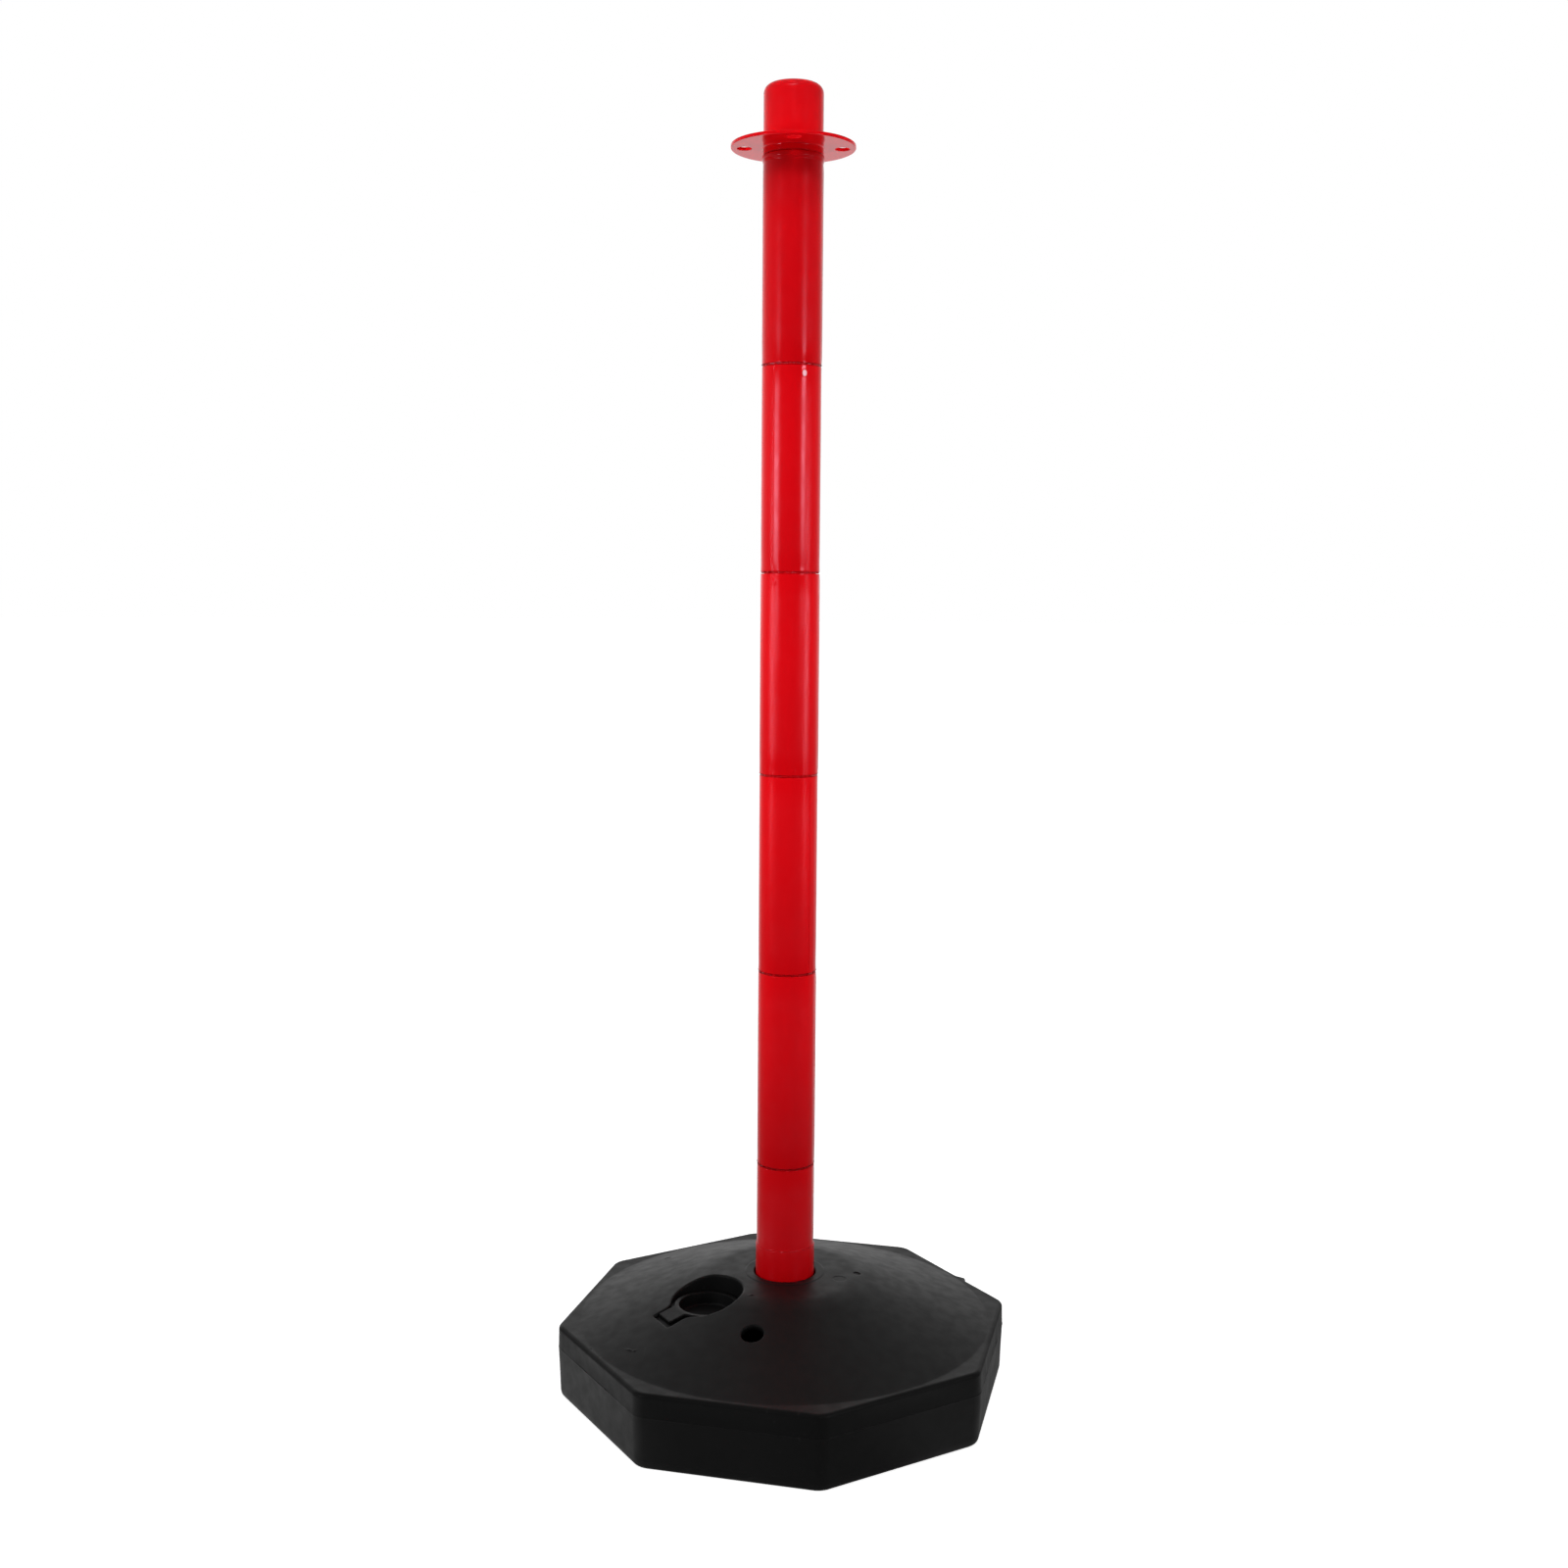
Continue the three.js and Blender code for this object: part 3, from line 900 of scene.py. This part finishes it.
def made(name, skin, material):
    """A closed, smooth mesh in metres."""
    mesh = bpy.data.meshes.new(name)
    mesh.from_pydata([Vector(point) * MM for point in skin.points], [], skin.faces)
    shape = bmesh.new()
    shape.from_mesh(mesh)
    bmesh.ops.remove_doubles(shape, verts=shape.verts, dist=0.5e-6)
    bmesh.ops.recalc_face_normals(shape, faces=shape.faces)
    for face in shape.faces:
        face.smooth = True
    shape.to_mesh(mesh)
    shape.free()
    mesh.materials.append(material)
    piece = bpy.data.objects.new(name, mesh)
    bpy.context.scene.collection.objects.link(piece)
    return piece


def install(name, skin, material, body, node):
    piece = made(name, skin, material)
    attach(piece, body)
    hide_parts(node)


class Graph:
    """A material's or the world's nodes, linked as they are made."""

    def __init__(self, owner):
        owner.use_nodes = True
        self.tree = owner.node_tree
        self.tree.nodes.clear()

    def node(self, kind, inputs=None, **settings):
        made_node = self.tree.nodes.new(kind)
        for name, value in settings.items():
            setattr(made_node, name, value)
        for name, value in (inputs or {}).items():
            socket = made_node.inputs[name]
            if isinstance(value, bpy.types.NodeSocket):
                self.tree.links.new(value, socket)
            else:
                socket.default_value = value
        return made_node

    def ramp(self, factor, stops):
        """A grey that follows stops of (factor, tone)."""
        made_node = self.node("ShaderNodeValToRGB", {"Fac": factor})
        elements = made_node.color_ramp.elements
        while len(elements) < len(stops):
            elements.new(1.0)
        for element, (place, tone) in zip(elements, stops):
            element.position = place
            element.color = (tone, tone, tone, 1.0)
        return made_node.outputs["Color"]

    def dot(self, one, other):
        made_node = self.node("ShaderNodeVectorMath", {0: one, 1: other}, operation="DOT_PRODUCT")
        return made_node.outputs["Value"]

    def sum(self, operation, *values):
        return self.node("ShaderNodeMath", dict(enumerate(values)), operation=operation).outputs[0]

    def between(self, factor, low, high, start=0.3, end=0.7):
        made_node = self.node("ShaderNodeMapRange", {
            "Value": factor, "From Min": start, "From Max": end, "To Min": low, "To Max": high,
        })
        return made_node.outputs["Result"]

    def mixed(self, factor, one, other):
        made_node = self.node("ShaderNodeMix", data_type="RGBA")
        for index, value in ((0, factor), (6, one), (7, other)):
            socket = made_node.inputs[index]
            if isinstance(value, bpy.types.NodeSocket):
                self.tree.links.new(value, socket)
            else:
                socket.default_value = value if index == 0 else (*value, 1.0)
        return made_node.outputs[2]

    def cloud(self, place, size, detail=3.0, stretch=(1, 1, 1)):
        """Noise whose bumps are about this many millimetres across."""
        mapping = self.node("ShaderNodeMapping", {"Vector": place, "Scale": stretch})
        cloud = self.node("ShaderNodeTexNoise", {
            "Vector": mapping.outputs["Vector"], "Scale": 1 / (size * MM), "Detail": detail,
        })
        return cloud.outputs["Fac"]


BLACK = (0, 0, 0)
SECTION_DARKER = 0.2  # how much darker the sections are than the cap
GATE_HIGHLIGHT_TONE = (0.9, 0.5, 0.55)  # painted highlight on the gate's mark
END_POLISH = 0.55  # how rough the sections' ends are, next to the rest of them
END_POLISH_REACH = (0.05, 0.13)  # from a joint, in section lengths
# Tone of the joints' dirt and of the painted shade on the neck under the flange
DIRT_AND_SHADE_TONE = (0.28, 0.0, 0.001)
DIRT_ROUGHER = 0.3
JOINT_DIRT = 0.3  # share of dirt in the joints
JOINT_DIRT_REACH = 0.4
NECK_SHADE = 0.45  # share of painted shade on the neck, under the flange that shades it
NECK_SHADE_RISE = (805.0, 846.0)
NECK_SHADE_END = (FLANGE_BOTTOM - 0.5, FLANGE_BOTTOM - 0.1)
WORN_ROUGHER = 0.25


def plastic(name, tones, rough, specular, grain, flow, wear, tint=(1, 1, 1, 1), painted_low_shade=0.0,
            painted_highlights=()):
    """Moulded plastic: two tones that drift, uneven gloss, a slightly wavy skin and light wear.

    A painted shade darkens each post section towards its lower end, and adds the joints' dirt
    and a painted shade on the neck under the flange. Painted highlights pale the marks given.
    """
    material = bpy.data.materials.new(name)
    graph = Graph(material)
    place = graph.node("ShaderNodeTexCoord").outputs["Object"]
    drift = graph.cloud(place, flow, 3, (1, 1, 0.35))
    colour = graph.mixed(graph.between(drift, 0, 1), tones[0], tones[1])
    mottle = graph.cloud(place, 9, 4)
    gloss = graph.between(mottle, rough[0], rough[1], 0.35, 0.65)
    if painted_low_shade:
        height = graph.node("ShaderNodeSeparateXYZ", {"Vector": place}).outputs["Z"]
        pitch = (JOINTS[1] - JOINTS[0]) * MM
        turns = graph.sum("DIVIDE", graph.sum("SUBTRACT", height, JOINTS[0] * MM), pitch)
        on_cap = graph.sum("GREATER_THAN", turns, float(len(JOINTS)))
        share = graph.sum("MAXIMUM", graph.sum("FRACT", turns), on_cap)
        # Painted shade: each post section darker towards its lower end
        low_shade_share = graph.between(share, painted_low_shade, 0, 0, 0.6)
        colour = graph.mixed(low_shade_share, colour, BLACK)
        colour = graph.mixed(graph.between(on_cap, SECTION_DARKER, 0, 0, 1), colour, BLACK)
        from_end = graph.sum("PINGPONG", turns, 0.5)
        polish = graph.between(from_end, END_POLISH, 1.0, *END_POLISH_REACH)
        gloss = graph.sum("MULTIPLY", gloss, polish)
        reach = JOINT_DIRT_REACH * MM / pitch
        in_joint = graph.between(from_end, JOINT_DIRT, 0, reach, 2 * reach)
        off_cap = graph.between(turns, 1, 0, len(JOINTS) - 0.6, len(JOINTS) - 0.5)
        in_joint = graph.sum("MULTIPLY", in_joint, off_cap)
        # Painted shade on the neck, where the flange shades it
        rise = graph.between(height, 0, NECK_SHADE, *(edge * MM for edge in NECK_SHADE_RISE))
        end = graph.between(height, 1, 0, *(edge * MM for edge in NECK_SHADE_END))
        shade_below_flange = graph.sum("MULTIPLY", rise, end)
        # The joints' dirt together with the painted shade under the flange
        dirt_and_shade = graph.sum("MAXIMUM", in_joint, shade_below_flange)
        colour = graph.mixed(dirt_and_shade, colour, DIRT_AND_SHADE_TONE)
        gloss = graph.sum("MULTIPLY_ADD", in_joint, DIRT_ROUGHER, gloss)
    # Painted highlights: pale ovals on the marks given
    for angle, height, (half_across, half_up) in painted_highlights:
        mark = Vector((*polar(radians(angle), POST_RADIUS), height)) * MM
        shifted = graph.node("ShaderNodeVectorMath", {0: place, 1: mark}, operation="SUBTRACT")
        shrink = Vector((1 / half_across, 1 / half_across, 1 / half_up)) / MM
        shares = graph.node("ShaderNodeVectorMath", {
            0: shifted.outputs["Vector"], 1: shrink,
        }, operation="MULTIPLY")
        reach = graph.node("ShaderNodeVectorMath", {0: shares.outputs["Vector"]}, operation="LENGTH")
        highlight_share = graph.between(reach.outputs["Value"], 1, 0, 0.75, 1.0)
        colour = graph.mixed(highlight_share, colour, GATE_HIGHLIGHT_TONE)
    scuff_amount, scuff_tone = wear
    streaks = graph.cloud(place, 4, 6, (1, 0.3, 0.6))
    patches = graph.cloud(place, 60, 2)
    scratch = graph.between(streaks, 0, 1, 0.66, 0.76)
    region = graph.between(patches, 0, 1, 0.52, 0.68)
    worn = graph.sum("MULTIPLY", graph.sum("MULTIPLY", scratch, region), scuff_amount)
    colour = graph.mixed(worn, colour, scuff_tone)
    gloss = graph.sum("MULTIPLY_ADD", worn, WORN_ROUGHER, gloss)
    skin_size, skin_depth = grain
    fine = graph.cloud(place, skin_size, 2)
    coarse = graph.cloud(place, skin_size * 6, 2)
    first = graph.node("ShaderNodeBump", {"Height": coarse, "Distance": skin_depth * 2 * MM})
    bump = graph.node("ShaderNodeBump", {
        "Height": fine, "Distance": skin_depth * MM, "Normal": first.outputs["Normal"],
    })
    shader = graph.node("ShaderNodeBsdfPrincipled", {
        "Base Color": colour,
        "Roughness": gloss,
        "Specular IOR Level": specular,
        "Specular Tint": tint,
        "Normal": bump.outputs["Normal"],
    })
    graph.node("ShaderNodeOutputMaterial", {"Surface": shader.outputs["BSDF"]})
    return material


# Camera, as it stands before the object. It, the lights and the floor are placed in metres.
CAMERA_PLACE = (0.2856, -1.1702, 0.5617)
CAMERA_TILT = radians(83.695)
CAMERA_HEADING = radians(13.863)
CAMERA_ROLL = radians(0.427)
CAMERA_LENS = 40.58
CAMERA_SENSOR = 36.0
FRONT = Vector((*CAMERA_PLACE[:2], 0)).normalized()
LEFT = Vector((0, 0, -1)).cross(FRONT)


def add_camera():
    data = bpy.data.cameras.new("front_camera")
    data.lens = CAMERA_LENS
    data.sensor_width = CAMERA_SENSOR
    camera = bpy.data.objects.new("front_camera", data)
    turned = Euler((CAMERA_TILT, 0, CAMERA_HEADING)).to_matrix() @ Matrix.Rotation(CAMERA_ROLL, 3, "Z")
    camera.rotation_euler = turned.to_euler()
    camera.location = CAMERA_PLACE
    bpy.context.scene.collection.objects.link(camera)
    bpy.context.scene.camera = camera


# Soft lights: name, bearing from the camera's side of the post in degrees, distance, lowest and
# highest point, width, power in watts, spread in degrees, whether it is mirrored, height aimed at
BEAM = 48
LIGHTS = (
    ("left_softbox", -53, 2.0, 0.64, 0.85, 0.45, 2.1, 180, True, 0.5),
    ("right_softbox", 48, 2.0, 0.71, 0.93, 0.45, 2.1, 180, True, 0.5),
    ("left_key", -72, 1.3, 0.3, 0.7, 0.5, 1.15, BEAM, False, 0.5),
    ("right_key", 70, 1.3, 0.3, 0.7, 0.5, 1.0, BEAM, False, 0.5),
    ("fill", -8, 1.2, 1.5, 1.9, 0.5, 0.95, BEAM, False, 0.5),
    ("left_low", -125, 0.75, 0.02, 0.12, 0.3, 0.13, BEAM, False, 0.88),
    ("right_low", 125, 0.75, 0.02, 0.12, 0.3, 0.15, BEAM, False, 0.88),
    ("cap_light", 0, 1.0, 1.8, 2.0, 0.2, 0.03, 14, False, 0.93),
)


def add_softbox(name, bearing, distance, low, high, width, power, spread, mirrored, aim):
    data = bpy.data.lights.new(name, "AREA")
    data.shape = "RECTANGLE"
    data.size = width
    data.size_y = high - low
    data.energy = power
    data.spread = radians(spread)
    light = bpy.data.objects.new(name, data)
    toward_camera = atan2(CAMERA_PLACE[1], CAMERA_PLACE[0])
    angle = toward_camera + radians(bearing)
    light.location = (distance * cos(angle), distance * sin(angle), (low + high) / 2)
    toward = Vector((0, 0, aim)) - light.location
    light.rotation_euler = toward.to_track_quat("-Z", "Y").to_euler()
    light.visible_glossy = mirrored
    light.visible_camera = False
    bpy.context.scene.collection.objects.link(light)


# What glossy plastic mirrors, from straight before the object (0) to straight behind it (1)
MIRRORED = (
    (0.0, 0.03), (0.3, 0.05), (0.5, 0.11), (0.66, 0.17), (0.8, 0.3), (0.92, 0.75), (0.97, 1.0),
)
OVERHEAD = ((0.0, 1.0), (0.35, 0.95), (0.6, 0.78), (0.85, 1.1))  # how that changes upwards
MIRRORED_SIDES = (0.65, 1.25)  # the same, from the right to the left
# The soft light all round, and how much of it is added behind, to the left and above
SOFT_LIGHT = 0.11
SOFT_BEHIND = 0.6
SOFT_LEFT = 0.1
SOFT_ABOVE = 2.0


def add_world():
    """A white room: dim in front of the object, where the camera stands, and soft all round."""
    world = bpy.data.worlds.new("studio")
    bpy.context.scene.world = world
    graph = Graph(world)
    place = graph.node("ShaderNodeTexCoord").outputs["Generated"]
    ahead, beside, above = (graph.dot(place, way) for way in (FRONT, LEFT, (0, 0, 1)))
    behind = graph.between(ahead, 0, 1, 1, -1)
    room = graph.ramp(behind, MIRRORED)
    raised = graph.ramp(above, OVERHEAD)
    sides = graph.between(beside, *MIRRORED_SIDES, -1, 1)
    mirrored = graph.sum("MULTIPLY", graph.sum("MULTIPLY", room, raised), sides)
    soft = graph.sum("MULTIPLY_ADD", ahead, -SOFT_BEHIND, 1.0)
    soft = graph.sum("MULTIPLY_ADD", above, SOFT_ABOVE, soft)
    soft = graph.sum("MULTIPLY", graph.sum("MULTIPLY_ADD", beside, SOFT_LEFT, soft), SOFT_LIGHT)
    rays = graph.node("ShaderNodeLightPath").outputs
    total = graph.sum("MULTIPLY_ADD", rays["Is Glossy Ray"], mirrored, rays["Is Camera Ray"])
    total = graph.sum("MULTIPLY_ADD", rays["Is Diffuse Ray"], soft, total)
    shader = graph.node("ShaderNodeBackground", {"Color": (1, 1, 1, 1), "Strength": total})
    graph.node("ShaderNodeOutputWorld", {"Surface": shader.outputs["Background"]})


FLOOR_RADIUS = 30.0  # metres
FLOOR_TONE = (0.78, 0.84)
# What glossy plastic mirrors of the floor, from before the object (0) to behind it (1), near the
# object and farther away, and the distances in metres between which the one becomes the other
FLOOR_NEAR = ((0.0, 0.17), (0.06, 0.18), (0.14, 0.42), (0.4, 0.52), (0.6, 0.6), (1.0, 0.4))
FLOOR_FAR = ((0.0, 0.02), (0.5, 0.04), (0.8, 0.14), (1.0, 0.8))
FLOOR_REACH = (0.22, 0.34)
FLOOR_SIDES = (0.6, 1.2)  # how that changes from the right to the left
FLOOR_GLOW = 0.85  # what the camera sees of the floor, beside its own tone


def add_floor():
    """A wide pale disc, which the object stands on."""
    mesh = bpy.data.meshes.new("studio_floor")
    shape = bmesh.new()
    bmesh.ops.create_circle(shape, cap_ends=True, segments=128, radius=FLOOR_RADIUS)
    shape.to_mesh(mesh)
    shape.free()
    material = bpy.data.materials.new("studio_floor")
    graph = Graph(material)
    place = graph.node("ShaderNodeTexCoord").outputs["Object"]
    rays = graph.node("ShaderNodeLightPath").outputs
    tone = graph.between(graph.cloud(place, 400), *FLOOR_TONE)
    away = graph.node("ShaderNodeVectorMath", {0: place}, operation="LENGTH").outputs["Value"]
    way = graph.node("ShaderNodeVectorMath", {0: place}, operation="NORMALIZE").outputs["Vector"]
    behind = graph.between(graph.dot(way, FRONT), 0, 1, 1, -1)
    near = graph.ramp(behind, FLOOR_NEAR)
    far = graph.ramp(behind, FLOOR_FAR)
    sides = graph.between(graph.dot(way, LEFT), *FLOOR_SIDES, -1, 1)
    near = graph.sum("MULTIPLY", near, sides)
    reach = graph.between(away, 0, 1, *FLOOR_REACH)
    dim = graph.sum("ADD", near, graph.sum("MULTIPLY", reach, graph.sum("SUBTRACT", far, near)))
    plain = graph.node("ShaderNodeCombineColor", dict.fromkeys(range(3), tone))
    colour = graph.mixed(rays["Is Glossy Ray"], plain.outputs["Color"], BLACK)
    glow = graph.sum("MULTIPLY", rays["Is Camera Ray"], FLOOR_GLOW)
    glow = graph.sum("MULTIPLY_ADD", rays["Is Glossy Ray"], dim, glow)
    shader = graph.node("ShaderNodeBsdfPrincipled", {
        "Base Color": colour, "Roughness": 0.9, "Specular IOR Level": 0.0,
        "Emission Color": (1, 1, 1, 1), "Emission Strength": glow,
    })
    graph.node("ShaderNodeOutputMaterial", {"Surface": shader.outputs["BSDF"]})
    mesh.materials.append(material)
    floor = bpy.data.objects.new("studio_floor", mesh)
    bpy.context.scene.collection.objects.link(floor)


add_camera()
add_world()
add_floor()
for light in LIGHTS:
    add_softbox(*light)

red = plastic(
    "red_plastic", ((0.84, 0.0008, 0.004), (0.9, 0.0012, 0.005)), (0.19, 0.26), 1.0,
    # painted shade towards each section's lower end and on the neck under the flange
    (7, 0.003), 45, (0.03, (0.75, 0.1, 0.1)), tint=(1, 0.5, 0.66, 1), painted_low_shade=0.15,
    # a painted highlight on the gate's mark
    painted_highlights=[(GATE_ANGLE, JOINTS[4] - GATE_DROP, GATE_SIZE)],
)
black = plastic(
    "black_plastic", ((0.0045, 0.0045, 0.0046), (0.0065, 0.0065, 0.0066)), (0.46, 0.54), 0.35,
    (4, 0.0015), 80, (0.3, (0.06, 0.06, 0.06)),
)

install("tank_shell", tank_skin(), black, "base", "base_tank")
install("bung_shell", bung_skin(), black, "bung", "filler_bung")

sections = (
    ("post_foot", "post_foot_section", None, Moulding(1, 17)),
    ("section_2", "post_section_2", JOINTS[0], Moulding(2, 12)),
    ("section_3", "post_section_3", JOINTS[1], Moulding(3, -28, [(-31, 406, (0.6, 1.8, 0.12))])),
    ("section_4", "post_section_4", JOINTS[2], Moulding(4, 15, [
        (-66, JOINTS[2] + 3.4, (1.3, 1.3, 0.2)), (-109, JOINTS[3] - 6.4, (1.7, 2.5, 0.25)),
    ])),
    ("section_5", "post_section_5", JOINTS[3], Moulding(5, -111, [
        (GATE_ANGLE, JOINTS[4] - GATE_DROP, (*GATE_SIZE, 0.22)),
    ])),
    ("section_6", "post_top_section", JOINTS[4], Moulding(6, 14)),
)
for body, node, joint, moulding in sections:
    skin = section_skin(node, joint, moulding, rim=body == "section_6")
    install(f"{body}_shell", skin, red, body, node)

install("cap_shell", cap_skin(), red, "cap", "chain_cap")

bpy.context.scene.view_settings.view_transform = "Standard"
